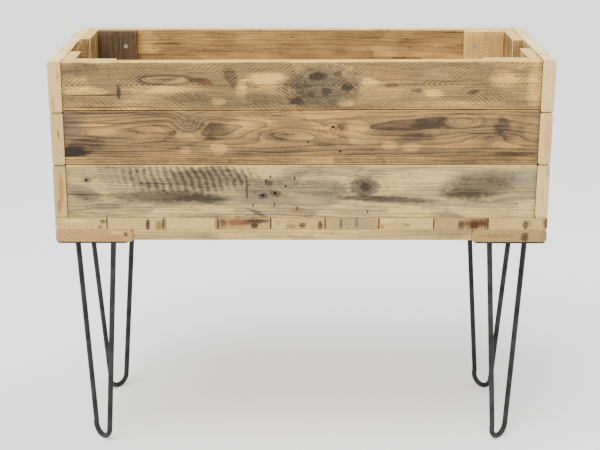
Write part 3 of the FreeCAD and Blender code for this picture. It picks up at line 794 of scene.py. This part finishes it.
# %% Front board: middle
make_board("front_board_middle", pine(
    "worn flat sawn pallet pine",
    tones=("#463929", "#685239", "#856a42", "#a78049", "#c99c55"),
    level=0.5, ring=5.0, ring_contrast=0.46, saw=0.1, saw_pitch=8.0, saw_lean=0.5, wild_knots=0.0,
    drift=34.0, patches=0.65, specks=0.2,
    knots=((-198, 20, 15, 12, 0.0), (55, 10, 5, 4, 0.6), (330, -5, 40, 9, 0.0), (-20, 0, 60, 12, 0.0)),
    marks=((-330, 20, 90, 22, 0, 0.1), (-405, -32, 40, 14, 0, -0.5), (-385, -22, 60, 18, 14, -0.25),
           (-150, 2, 34, 20, -10, -0.16), (-170, -6, 30, 8, -12, -0.3), (-146, -26, 16, 18, 40, 0.3),
           (-205, -28, 14, 10, 0, 0.3), (-85, 20, 60, 18, 12, 0.3), (-42, -4, 36, 10, 0, -0.35),
           (-60, -32, 90, 9, 3, -0.28), (45, -20, 30, 6, -8, -0.25), (97, 12, 28, 16, 0, 0.3),
           (70, 10, 14, 10, 0, -0.35), (260, -6, 190, 60, 0, -0.15), (222, 19, 40, 13, 8, -0.3),
           (248, 12, 20, 16, 0, -0.15), (283, 20, 40, 16, 0, 0.12), (350, 14, 18, 20, 0, -0.35),
           (156, -22, 20, 10, 0, 0.4), (192, -24, 26, 10, 0, 0.36), (365, -20, 36, 10, 0, 0.34),
           (200, -8, 44, 12, 0, -0.2), (405, 0, 20, 20, -40, 0.2), (370, -37, 60, 5, 0, -0.35)),
    arcs=((-198, 20, 34, 20, 2.2, 0.14), (283, 21, 48, 17, 2.4, 0.3), (-335, 2, 210, 42, 3.2, 0.25),
          (55, 8, 30, 22, 3.0, 0.2)),
    tints=((-408, -32, 44, 14, 0, "#38332b", 0.75), (-408, 12, 30, 34, 0, "#6f5c4a", 0.8),
           (-196, 20, 34, 24, 0, "#7a6a50", 0.45), (-198, 20, 8, 6, 0, "#8c6a42", 0.6),
           (-150, 2, 36, 22, -10, "#75603f", 0.4), (222, 19, 42, 14, 8, "#5d503c", 0.5),
           (285, 20, 44, 18, 0, "#876f4b", 0.35), (350, 14, 20, 22, 0, "#5d513e", 0.5),
           (205, -6, 40, 12, 0, "#6a5240", 0.6), (370, -37, 60, 5, 0, "#6f4a2c", 0.45),
           (100, -14, 34, 10, 0, "#8a7350", 0.3))),
    pith=(8.0, -34.0), arris=2.4 * MM, holes=middle_holes, step=8 * MM)

# %% Front board: bottom
make_board("front_board_bottom", pine(
    "coarse sawn pallet pine",
    tones=("#4a4032", "#6f6049", "#8b7755", "#ae9460", "#d4b56c"),
    level=0.52, ring=3.4, ring_contrast=0.28, saw=0.5, saw_pitch=12.5, saw_lean=-0.3,
    saw_area=(-203, 27, 170, 40), wild_knots=0.0, drift=20.0, patches=0.65, specks=0.4,
    knots=((113, 8, 9, 8, 1.0),),
    marks=((-203, 22, 130, 26, 0, -0.15), (-249, -9, 100, 14, 0, -0.35), (-170, -13, 60, 10, 0, -0.4),
           (-190, -34, 90, 12, 0, 0.4), (-380, 21, 10, 7, 0, -0.5), (-385, -3, 40, 14, -14, -0.3),
           (-350, -28, 44, 8, 0, -0.35), (-65, 2, 60, 30, 0, -0.12), (-58, 16, 10, 8, 0, -0.5),
           (-68, -8, 12, 8, 0, -0.5), (-46, -4, 14, 8, 0, -0.5), (-97, 4, 3, 26, 0, -0.6),
           (-78, -40, 26, 5, -24, -0.4), (30, 8, 60, 20, 0, -0.25), (113, 8, 30, 22, 0, -0.3),
           (150, -14, 120, 7, -2, -0.4), (215, 28, 90, 16, 0, 0.3), (200, -36, 60, 12, 0, 0.3),
           (316, 12, 78, 34, 8, -0.22), (290, -4, 60, 12, 0, -0.4), (390, -30, 50, 16, 0, 0.12)),
    arcs=((113, 8, 60, 34, 4.0, 0.12), (40, 24, 70, 14, 4.0, 0.22)),
    tints=((-249, -8, 120, 16, 0, "#574a38", 0.6), (-203, 24, 140, 26, 0, "#6d6148", 0.5),
           (-385, -3, 44, 18, -14, "#716551", 0.6), (113, 8, 34, 24, 0, "#5e5442", 0.8),
           (150, -14, 120, 8, -2, "#4d4437", 0.6), (316, 10, 84, 34, 8, "#62563f", 0.55),
           (-57, 0, 70, 34, 0, "#7d6f55", 0.5), (393, 28, 40, 16, 0, "#77705f", 0.6),
           (30, 6, 64, 24, 0, "#6f6550", 0.6), (-8, -34, 16, 7, 0, "#7c5a3c", 0.6))),
    pith=(-14.0, -42.0), arris=2.2 * MM, holes=bottom_holes, step=8 * MM)

# %% Front: the filler strip
make_board("front_filler_strip", pine(
    "sawn pine strip", tones=("#4e3e2a", "#6c5639", "#876d44", "#a3824c", "#c39e58"),
    saw=0.1, wild_knots=0.0, ring=4.5, ring_contrast=0.35, level=0.4), arris=1.0 * MM)
print("The front wall has 4 boards")

# %% [markdown]
# The back and the ends were sawn from the same pallets, so they share a few kinds of pine. Only the
# numbers on the boards tell them apart. The front ends of the side boards show as narrow uprights
# at the corners. They were cut when the planter was made, so they are pale, with clear ring arcs.
# %% Back and end walls
PALE_TONES = ("#6a5237", "#987a4c", "#c9a563", "#eac684", "#fbdfa0")
plain_pine = pine("pallet pine", saw=0.14, saw_pitch=11.0, ring_contrast=0.34)
brown_pine = pine("brown pallet pine", tones=("#6f5538", "#957548", "#b48d55", "#cda25d", "#efc36f"),
                  saw=0.0, saw_pitch=10.0, ring=4.8, ring_contrast=0.3, specks=0.4, patches=0.8)
for height in ("top", "middle", "bottom"):
    make_board("back_board_" + height, brown_pine if height == "top" else plain_pine, step=14 * MM)
END_WALL_LOOKS = {
    "left_board_top": {"end_level": 0.66, "end_marks": ((20, 6, 14, 4, -0.2), (-30, -4, 16, 4, -0.2))},
    "left_board_middle": {"end_level": 0.56, "end_marks": ((10, 2, 10, 3, -0.35),)},
    "left_board_bottom": {"end_level": 0.48, "end_tints": ((5, 2, 40, 6, "#97743f", 0.7),
                                                           (-26, -3, 18, 5, "#86643c", 0.7))},
    "right_board_top": {"end_level": 0.74},
    "right_board_middle": {"end_level": 0.66, "end_tints": ((0, 4, 44, 8, "#c79350", 0.6),)},
    "right_board_bottom": {"end_level": 0.68, "end_marks": ((-10, 0, 24, 3, -0.15),),
                           "end_tints": ((36, 7, 12, 7, "#8a8778", 0.6),)},
}
for node, changes in END_WALL_LOOKS.items():
    arris = (3.6 if node.startswith("left") else 4.2) * MM
    wood = pine("fresh cut pallet pine, " + node.replace("_", " "), saw=0.12, saw_pitch=12.0, ring=5.0,
                tones=PALE_TONES, level=0.32, ring_contrast=0.36, **changes)
    make_board(node, wood, arris=arris)
print("The back and the ends have 9 boards")

# %% [markdown]
# The floor boards run from front to back, so only their sawn ends show below the front wall. Those
# ends are the most varied wood in the planter: one is red with old paint and rust, others have knots
# and cracks.
# %% Floor boards
FLOOR_TONES = ("#4f3d2a", "#7d6644", "#a98c57", "#d3b06b", "#fbd68c")
FLOOR_LOOKS = {
    1: {"end_level": 0.66, "end_marks": ((40, 4, 8, 5, -0.5), (34, -6, 6, 5, -0.4), (-10, 5, 30, 5, 0.15))},
    2: {"end_level": 0.66, "end_marks": ((23, -2, 5, 14, -0.7), (43, -4, 9, 12, -0.3)),
        "end_tints": ((43, -4, 9, 12, "#94743f", 0.6),)},
    3: {"end_level": 0.72, "end_marks": ((-46, 0, 4, 20, -0.4), (46, 0, 4, 20, -0.4))},
    4: {"end_level": 0.5, "end_marks": ((-38, 3, 8, 9, -0.4), (18, -4, 8, 6, -0.8), (24, 5, 26, 5, -0.4)),
        "end_tints": ((-12, 3, 34, 9, "#7a4a30", 0.85), (-40, 0, 12, 14, "#8d6544", 0.6),
                      (14, 4, 24, 8, "#5f4230", 0.8))},
    5: {"end_level": 0.6, "end_marks": ((8, -3, 9, 6, -0.5), (40, -3, 5, 12, -0.45), (-34, 0, 16, 14, 0.1)),
        "end_tints": ((-12, -5, 12, 6, "#84603f", 0.7), (-36, 2, 8, 7, "#94734a", 0.6),
                      (40, -3, 8, 9, "#7a5438", 0.7))},
    6: {"end_level": 0.52, "end_marks": ((-20, 0, 4, 14, -0.4), (8, 2, 4, 14, -0.3)),
        "end_tints": ((6, 0, 44, 16, "#8f8264", 0.5),)},
    7: {"end_level": 0.7, "end_marks": ((-34, 6, 16, 5, 0.15), (0, -2, 10, 4, -0.3)),
        "end_tints": ((-20, -2, 30, 9, "#b08a52", 0.6), (-44, -5, 6, 6, "#8f6238", 0.7))},
    8: {"end_level": 0.5, "end_marks": ((0, -2, 8, 12, -0.45), (24, -1, 10, 9, -0.45), (38, 2, 8, 8, -0.3)),
        "end_tints": ((26, 0, 30, 14, "#5c3821", 0.85), (44, 2, 5, 20, "#4f3822", 0.8))},
    9: {"end_level": 0.64, "end_marks": ((14, -2, 6, 12, -0.5), (52, 0, 6, 12, -0.4)),
        "end_tints": ((16, 0, 12, 10, "#7c5b38", 0.6), (53, 2, 12, 16, "#64472f", 0.8))},
}
for number, changes in FLOOR_LOOKS.items():
    wood = pine("pallet floor pine %d" % number, tones=FLOOR_TONES, level=0.42, saw=0.25, ring=4.6, **changes)
    make_board("floor_board_%d" % number, wood, arris=1.2 * MM, step=16 * MM)
print("The floor has", len(FLOOR_LOOKS), "boards")

# %% Bearers and rails
make_board("bearer_left", pine(
    "ruddy pallet pine", tones=("#5b422b", "#83643f", "#aa8450", "#c79c5e", "#e0b877"), level=0.45,
    ring=5.5, end_level=0.58, saw=0.25,
    end_marks=((56, 2, 5, 6, -0.5), (40, 6, 16, 5, 0.2)),
    end_tints=((-25, 2, 44, 12, "#a88458", 0.5), (30, -4, 26, 8, "#97774f", 0.5))),
    pith=(-12.0, 26.0), arris=4.5 * MM)
make_board("bearer_right", pine(
    "rust stained pallet pine", tones=("#54402b", "#7b6340", "#a0834f", "#c3a05c", "#e2bf74"), level=0.45,
    ring=4.4, end_level=0.52, saw=0.25, end_marks=((-20, 0, 40, 5, -0.15), (28, -2, 8, 12, -0.3)),
    end_tints=((27, -3, 10, 12, "#64452c", 0.8), (62, 0, 9, 20, "#8a6a44", 0.5))),
    pith=(20.0, 30.0), arris=4.5 * MM)
rail_pine = pine("pale rail pine", tones=("#6f5c3f", "#927b52", "#ae935d", "#c6a767", "#ddbf6d"),
                 saw=0.08, ring=3.4, ring_contrast=0.2, wild_knots=0.3)
for node in ("front_rail", "back_rail"):
    make_board(node, rail_pine, arris=1.6 * MM)
print("Under the floor are 2 bearers and 2 rails")

# %% [markdown]
# ## Corner cleats and their screws
# The cleats are offcuts. The one at the back on the left came from an older, darker pallet. Their
# screws were driven from inside the trough, so each head lies in a countersink, a little below the
# wood, and no screw shows outside. A screw is spun from half of its outline, and two blades, one
# after the other, cut the cross in its head.
# %% Find each screw of a drawn group
def islands(node):
    """The box of each separate solid in a drawn node."""
    shape = bmesh.new()
    shape.from_mesh(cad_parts[node].data)
    bmesh.ops.remove_doubles(shape, verts=shape.verts, dist=0.01 * MM)
    waiting = set(shape.verts)
    boxes = []
    while waiting:
        edge_of_group = [waiting.pop()]
        points = []
        while edge_of_group:
            vertex = edge_of_group.pop()
            points.append(vertex.co.copy())
            for edge in vertex.link_edges:
                other = edge.other_vert(vertex)
                if other in waiting:
                    waiting.remove(other)
                    edge_of_group.append(other)
        boxes.append((Vector([min(p[i] for p in points) for i in range(3)]),
                      Vector([max(p[i] for p in points) for i in range(3)])))
    shape.free()
    return sorted(boxes, key=lambda box: tuple(box[0]))


def drive_of(box, upwards):
    """Where a screw's head is and which way it was driven."""
    low, high = box
    centre = (low + high) / 2
    if upwards:
        return Vector((centre.x, centre.y, low.z)), Vector((0, 0, 1))
    axis = max(range(3), key=lambda i: high[i] - low[i])
    drive = Vector((0, 0, 0))
    drive[axis] = math.copysign(1.0, centre[axis])
    head = centre.copy()
    head[axis] = low[axis] if drive[axis] > 0 else high[axis]
    return head, drive


cleat_screw_places = [drive_of(box, upwards=False) for box in islands("cleat_screws")]
print("The cleats hold", len(cleat_screw_places), "screws")

# %% Cleats with countersinks
SINK = 0.3 * MM                 # how far a head lies below the wood
SINK_RADIUS = 4.5 * MM


def countersinks_of(node):
    """A cutter for each screw whose head lies on this cleat."""
    low, high = (Vector(corner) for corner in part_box(node))
    margin = Vector((1, 1, 1)) * MM

    def cut(cutters):
        for head, drive in cleat_screw_places:
            inside = all(low[i] - margin[i] < head[i] < high[i] + margin[i] for i in range(3))
            if inside:
                add_peg(cutters, head, drive, SINK_RADIUS, 2 * (SINK + 3 * MM), sides=20)
    return cut


dark_pine = pine("old brown pallet pine", tones=("#3f3122", "#564430", "#67503b", "#765d44", "#93785a"),
                 saw=0.0, ring=2.6, ring_contrast=0.3, wild_knots=0.0, end_level=0.9)
pale_pine = pine("pale offcut pine", tones=("#856a49", "#b8945b", "#deb768", "#f2c874", "#fbd98a"),
                 saw=0.05, ring=4.8, ring_contrast=0.15, patches=0.4, wild_knots=0.0, level=0.56)
cleat_pine = pine("offcut pallet pine", tones=PALE_TONES, level=0.36, saw=0.15, ring=4.2)
for wall in ("end", "long"):
    for corner in ("front_left", "front_right", "back_left", "back_right"):
        node = "%s_wall_cleat_%s" % (wall, corner)
        wood, slot = cleat_pine, "pallet_pine"
        if node == "long_wall_cleat_back_left":
            wood, slot = dark_pine, "weathered_pine"
        elif node == "long_wall_cleat_back_right":
            wood, slot = pale_pine, "pale_pine"
        make_board(node, wood, holes=[countersinks_of(node)], arris=2.0 * MM)
print("The corners have 8 cleats")

# %% [markdown]
# ## Steel
# Screws and nails are bright zinc plate on steel: pale, slightly blue, and scratched by the driver.
# The legs are hot-rolled bar and plate with the mill scale still on, so they are nearly black, soft
# in their shine, and streaked along the bar where they were drawn and bent.
# %% Zinc and steel materials
def metal(name, base, worn, roughness, patch_mm, scratch_mm, metallic, mirror=0.5):
    """A metal with cloudy patches and fine scratches, both with real sizes.

    The mirror is how strongly its skin reflects. An oxide skin reflects less than bare metal.
    """
    material, tree = new_material(name)
    place = add(tree, "TexCoord", out="Object")
    cloudy = add(tree, "TexNoise", {"Vector": place, "Scale": 1 / (patch_mm * MM), "Detail": 5.0})
    stretched = add(tree, "Mapping", {
        "Vector": place, "Scale": (1 / (scratch_mm * MM), 1 / (scratch_mm * MM), 1 / (14 * scratch_mm * MM))})
    streaks = add(tree, "TexNoise", {"Vector": stretched, "Scale": 1.0, "Detail": 4.0})
    mixed = add(tree, "Math", {0: streaks, 1: 0.6, 2: cloudy}, operation="MULTIPLY_ADD")
    share = add(tree, "MapRange", {"Value": mixed, "From Min": 0.62, "From Max": 0.98})
    colour = add(tree, "Mix", {0: share, 6: linear(base), 7: linear(worn)}, out=2, data_type="RGBA")
    dull = add(tree, "MapRange", {
        "Value": cloudy, "From Min": 0.3, "From Max": 0.7,
        "To Min": roughness + 0.12, "To Max": roughness - 0.08})
    normal = add(tree, "Bump", {"Height": mixed, "Strength": 0.35, "Distance": 0.15 * MM})
    shader = add(tree, "BsdfPrincipled", {
        "Base Color": colour, "Metallic": metallic, "Roughness": dull, "Normal": normal,
        "Specular IOR Level": mirror})
    finish_material(tree, shader)
    return material


# Fine scratches are drawn 0.5 mm wide, coarser than real ones, so that they show.
zinc = metal("bright zinc plate", "#c2c5c6", "#f1f2f0", 0.45, 3.0, 0.5, 0.7)
mill_scale = metal("hot rolled steel with mill scale", "#232425", "#393939", 0.62, 26.0, 2.0, 0.1,
                   mirror=0.2)


# %% One screw, copied to every place
def spun_outline(points, sides):
    """A solid of revolution round Z from the points of half its outline."""
    shape = bmesh.new()
    chain = [shape.verts.new((x, 0.0, z)) for x, z in points]
    edges = [shape.edges.new(pair) for pair in zip(chain, chain[1:])]
    bmesh.ops.spin(shape, geom=chain + edges, cent=(0, 0, 0), axis=(0, 0, 1), dvec=(0, 0, 0),
                   angle=2 * math.pi, steps=sides, use_merge=True, use_duplicate=False)
    bmesh.ops.remove_doubles(shape, verts=shape.verts, dist=0.001 * MM)
    bmesh.ops.recalc_face_normals(shape, faces=shape.faces)
    return shape


RECESS_DEPTH = 1.8 * MM
RECESS_REACH = 2.3 * MM         # from the middle of a head to the end of a slot
SLOT = 1.1 * MM                 # width
BLADE_TAPER = 0.45              # width of a blade at its deep end, as a share of its full width


def blade_cutter(turn, depth, reach):
    """One blade of the tool that presses the cross into a screw's head."""
    shape = bmesh.new()
    blade = bmesh.ops.create_cube(shape, size=1.0)["verts"]
    bmesh.ops.scale(shape, verts=blade, vec=(2 * reach, SLOT, 2 * depth))
    for vertex in blade:
        if vertex.co.z > 0:
            vertex.co.x *= BLADE_TAPER
    bmesh.ops.rotate(shape, verts=blade, cent=(0, 0, 0), matrix=Matrix.Rotation(turn, 3, "Z"))
    return shape


def screw_mesh(head_radius, head_height, shank, length, domed):
    """A screw along +Z, its head's seat at height 0, and the tip at its length."""
    tip = 4 * MM                    # length of the point
    if domed:
        dome = [(head_radius * math.sin(a), -head_height * math.cos(a))
                for a in [math.radians(step * 15) for step in range(7)]]
        outline = dome + [(head_radius, 0.0), (shank, 0.0)]
    else:
        rim = 0.4 * MM
        outline = [(0.0, 0.0), (head_radius, 0.0), (head_radius, rim), (shank, head_height)]
    outline += [(shank, length - tip), (0.0, length)]
    shape = spun_outline(outline, 20)
    mesh = bpy.data.meshes.new("screw")
    shape.to_mesh(mesh)
    shape.free()
    # The blades cut in turn: a cutter that crosses itself would leave nothing of the screw.
    for turn in (0, math.pi / 2):
        cutter = blade_cutter(turn, RECESS_DEPTH, RECESS_REACH)
        bmesh.ops.translate(cutter, verts=cutter.verts, vec=(0, 0, -head_height if domed else 0))
        mesh = cut_away(mesh, cutter)
    return mesh


def place_screws(node, places, template, material):
    """Copy a screw to each place, turned as the driver happened to leave it."""
    joined = bmesh.new()
    for head, drive in places:
        copy = template.copy()
        spin = Matrix.Rotation(draw.uniform(0, math.pi), 4, "Z")
        copy.transform(Matrix.Translation(head) @ drive.to_track_quat("Z", "Y").to_matrix().to_4x4() @ spin)
        joined.from_mesh(copy)
        bpy.data.meshes.remove(copy)
    mesh = bpy.data.meshes.new(node + "_all")
    joined.to_mesh(mesh)
    joined.free()
    return put_in_place(mesh, node + "_set", [node], material)


SHANK = 2.0 * MM                # radius
HEAD_RADIUS = 4.2 * MM          # of a countersunk head
HEAD_HEIGHT = 3.2 * MM
wood_screw = screw_mesh(HEAD_RADIUS, HEAD_HEIGHT, SHANK, 37 * MM, domed=False)
sunk = [(head + drive * SINK, drive) for head, drive in cleat_screw_places]
place_screws("cleat_screws", sunk, wood_screw, zinc)
long_screw = screw_mesh(HEAD_RADIUS, HEAD_HEIGHT, SHANK, 39.5 * MM, domed=False)
PROUD = 0.15 * MM               # these heads stand a hair above wood that was not countersunk
for node in ("bearer_screws", "rail_screws"):
    places = [drive_of(box, upwards=True) for box in islands(node)]
    place_screws(node, [(head - drive * PROUD, drive) for head, drive in places], long_screw, zinc)
PAN_RADIUS = 4.8 * MM
PAN_HEAD = 2.8 * MM             # height
PAN_SHANK = 2.4 * MM            # radius
pan_screw = screw_mesh(PAN_RADIUS, PAN_HEAD, PAN_SHANK, 25 * MM, domed=True)
seats = [drive_of(box, upwards=True) for box in islands("leg_screws")]
place_screws("leg_screws", [(head + drive * PAN_HEAD, drive) for head, drive in seats], pan_screw, zinc)
for template in (wood_screw, long_screw, pan_screw):
    bpy.data.meshes.remove(template)
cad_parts["floor_nails"].material_slots[0].material = zinc
print("The planter has", len(cleat_screw_places) + len(seats), "screws in its cleats and legs")

# %% [markdown]
# ## The legs
# Each leg is one bar, bent double. It is made as a bender makes it: a round section is drawn down one
# straight, turned round the former, and drawn up the other straight. The bar is drawn in short
# lengths. Under the plate each end is held by a bead of weld, which is a small spun ring, made lumpy.
# %% Bent bars
ROD_RADIUS = 5.0 * MM
FOOT_BEND = 21.0 * MM           # to the bar's centre
BEAD_RADIUS = 8.5 * MM          # of the drawn bead, at the plate
CORNERS = {"front_left": (-1, -1), "front_right": (1, -1), "back_left": (-1, 1), "back_right": (1, 1)}


def bent_bar(corner):
    """The bar of one leg, worked out from the boxes of its plate and its weld beads."""
    plate_low = Vector(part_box("leg_plate_" + corner)[0])
    weld_low, weld_high = (Vector(c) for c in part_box("leg_weld_" + corner))
    centre = (weld_low + weld_high) / 2
    ground = low_corner.z
    along, across = CORNERS[corner]
    outward = Vector((1, -along * across, 0)).normalized()
    half_spread = math.sqrt(2) * ((weld_high.x - weld_low.x) / 2 - BEAD_RADIUS)
    top = plate_low.z
    bend_centre = Vector((centre.x, centre.y, ground + FOOT_BEND + ROD_RADIUS))
    rise = top - bend_centre.z
    lean = math.atan2(half_spread, rise)
    tangent = math.pi / 2 - lean - math.acos(FOOT_BEND / math.hypot(half_spread, rise))
    end = Vector((centre.x, centre.y, top)) + outward * half_spread
    touch = bend_centre + outward * (FOOT_BEND * math.cos(tangent)) \
        + Vector((0, 0, FOOT_BEND * math.sin(tangent)))
    run = touch - end

    shape = bmesh.new()
    turn = run.normalized().to_track_quat("Z", "Y").to_matrix().to_4x4()
    ring = bmesh.ops.create_circle(shape, cap_ends=False, segments=20, radius=ROD_RADIUS,
                                   matrix=Matrix.Translation(end) @ turn)["verts"]
    edges = list({edge for vertex in ring for edge in vertex.link_edges})
    lengths = 28

    def draw_on(edges, step):
        grown = bmesh.ops.extrude_edge_only(shape, edges=edges)["geom"]
        verts = [item for item in grown if isinstance(item, bmesh.types.BMVert)]
        bmesh.ops.translate(shape, verts=verts, vec=step)
        return [item for item in grown if isinstance(item, bmesh.types.BMEdge)]

    for _ in range(lengths):
        edges = draw_on(edges, run / lengths)
    sweep = math.pi - 2 * tangent
    axis = Vector((0, 0, 1)).cross(outward)
    geometry = edges + list({vertex for edge in edges for vertex in edge.verts})
    bent = bmesh.ops.spin(shape, geom=geometry, cent=bend_centre, axis=axis, dvec=(0, 0, 0),
                          angle=sweep, steps=18, use_duplicate=False)["geom_last"]
    edges = [item for item in bent if isinstance(item, bmesh.types.BMEdge)]
    back = -run.copy()
    back -= 2 * back.dot(outward) * outward
    for _ in range(lengths):
        edges = draw_on(edges, back / lengths)
    bmesh.ops.holes_fill(shape, edges=shape.edges, sides=0)

    for vertex in shape.verts:
        if vertex.co.z > top:
            vertex.co.z = top
    bmesh.ops.recalc_face_normals(shape, faces=shape.faces)
    highest = max(vertex.co.z for vertex in shape.verts)
    lowest = min(vertex.co.z for vertex in shape.verts)
    print(corner, "bar from", round(lowest, 4), "to", round(highest, 4), "m, sweep",
          round(math.degrees(sweep), 1))
    return shape


for corner in CORNERS:
    shape = bent_bar(corner)
    mesh = bpy.data.meshes.new("bent_bar_" + corner)
    shape.to_mesh(mesh)
    shape.free()
    put_in_place(mesh, "leg_bar_" + corner, ["leg_rod_" + corner], mill_scale)


# %% Weld beads and plates
def weld_bead(shape, box):
    """A lumpy ring of weld in the place of a drawn bead."""
    low, high = box
    centre = (low + high) / 2
    ring = bmesh.new()
    bead = (high.z - low.z) / 2 * 0.95
    section = bmesh.ops.create_circle(
        ring, cap_ends=False, segments=10, radius=bead,
        matrix=Matrix.Translation((ROD_RADIUS + bead * 0.55, 0, 0)) @ Matrix.Rotation(math.pi / 2, 4, "X"))
    geometry = section["verts"] + ring.edges[:]
    bmesh.ops.spin(ring, geom=geometry, cent=(0, 0, 0), axis=(0, 0, 1), dvec=(0, 0, 0),
                   angle=2 * math.pi, steps=36, use_merge=True, use_duplicate=False)
    bmesh.ops.remove_doubles(ring, verts=ring.verts, dist=0.001 * MM)
    bmesh.ops.recalc_face_normals(ring, faces=ring.faces)
    for vertex in ring.verts:
        ripple = noise.noise(vertex.co * 900 + centre * 50)
        vertex.co.x *= 1 + 0.05 * ripple
        vertex.co.y *= 1 + 0.05 * ripple
        vertex.co.z = max(-bead, min(vertex.co.z * (1 + 0.2 * ripple), bead))
    bmesh.ops.translate(ring, verts=ring.verts, vec=centre)
    mesh = bpy.data.meshes.new("bead")
    ring.to_mesh(mesh)
    ring.free()
    shape.from_mesh(mesh)
    bpy.data.meshes.remove(mesh)


weld_steel = metal("weld bead steel", "#323334", "#5c5c5c", 0.5, 3.0, 0.8, 0.5)
for corner in CORNERS:
    shape = bmesh.new()
    for box in islands("leg_weld_" + corner):
        weld_bead(shape, box)
    mesh = bpy.data.meshes.new("weld_" + corner)
    shape.to_mesh(mesh)
    shape.free()
    put_in_place(mesh, "weld_beads_" + corner, ["leg_weld_" + corner], weld_steel)
    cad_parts["leg_plate_" + corner].material_slots[0].material = mill_scale
print("Four legs stand under the planter")
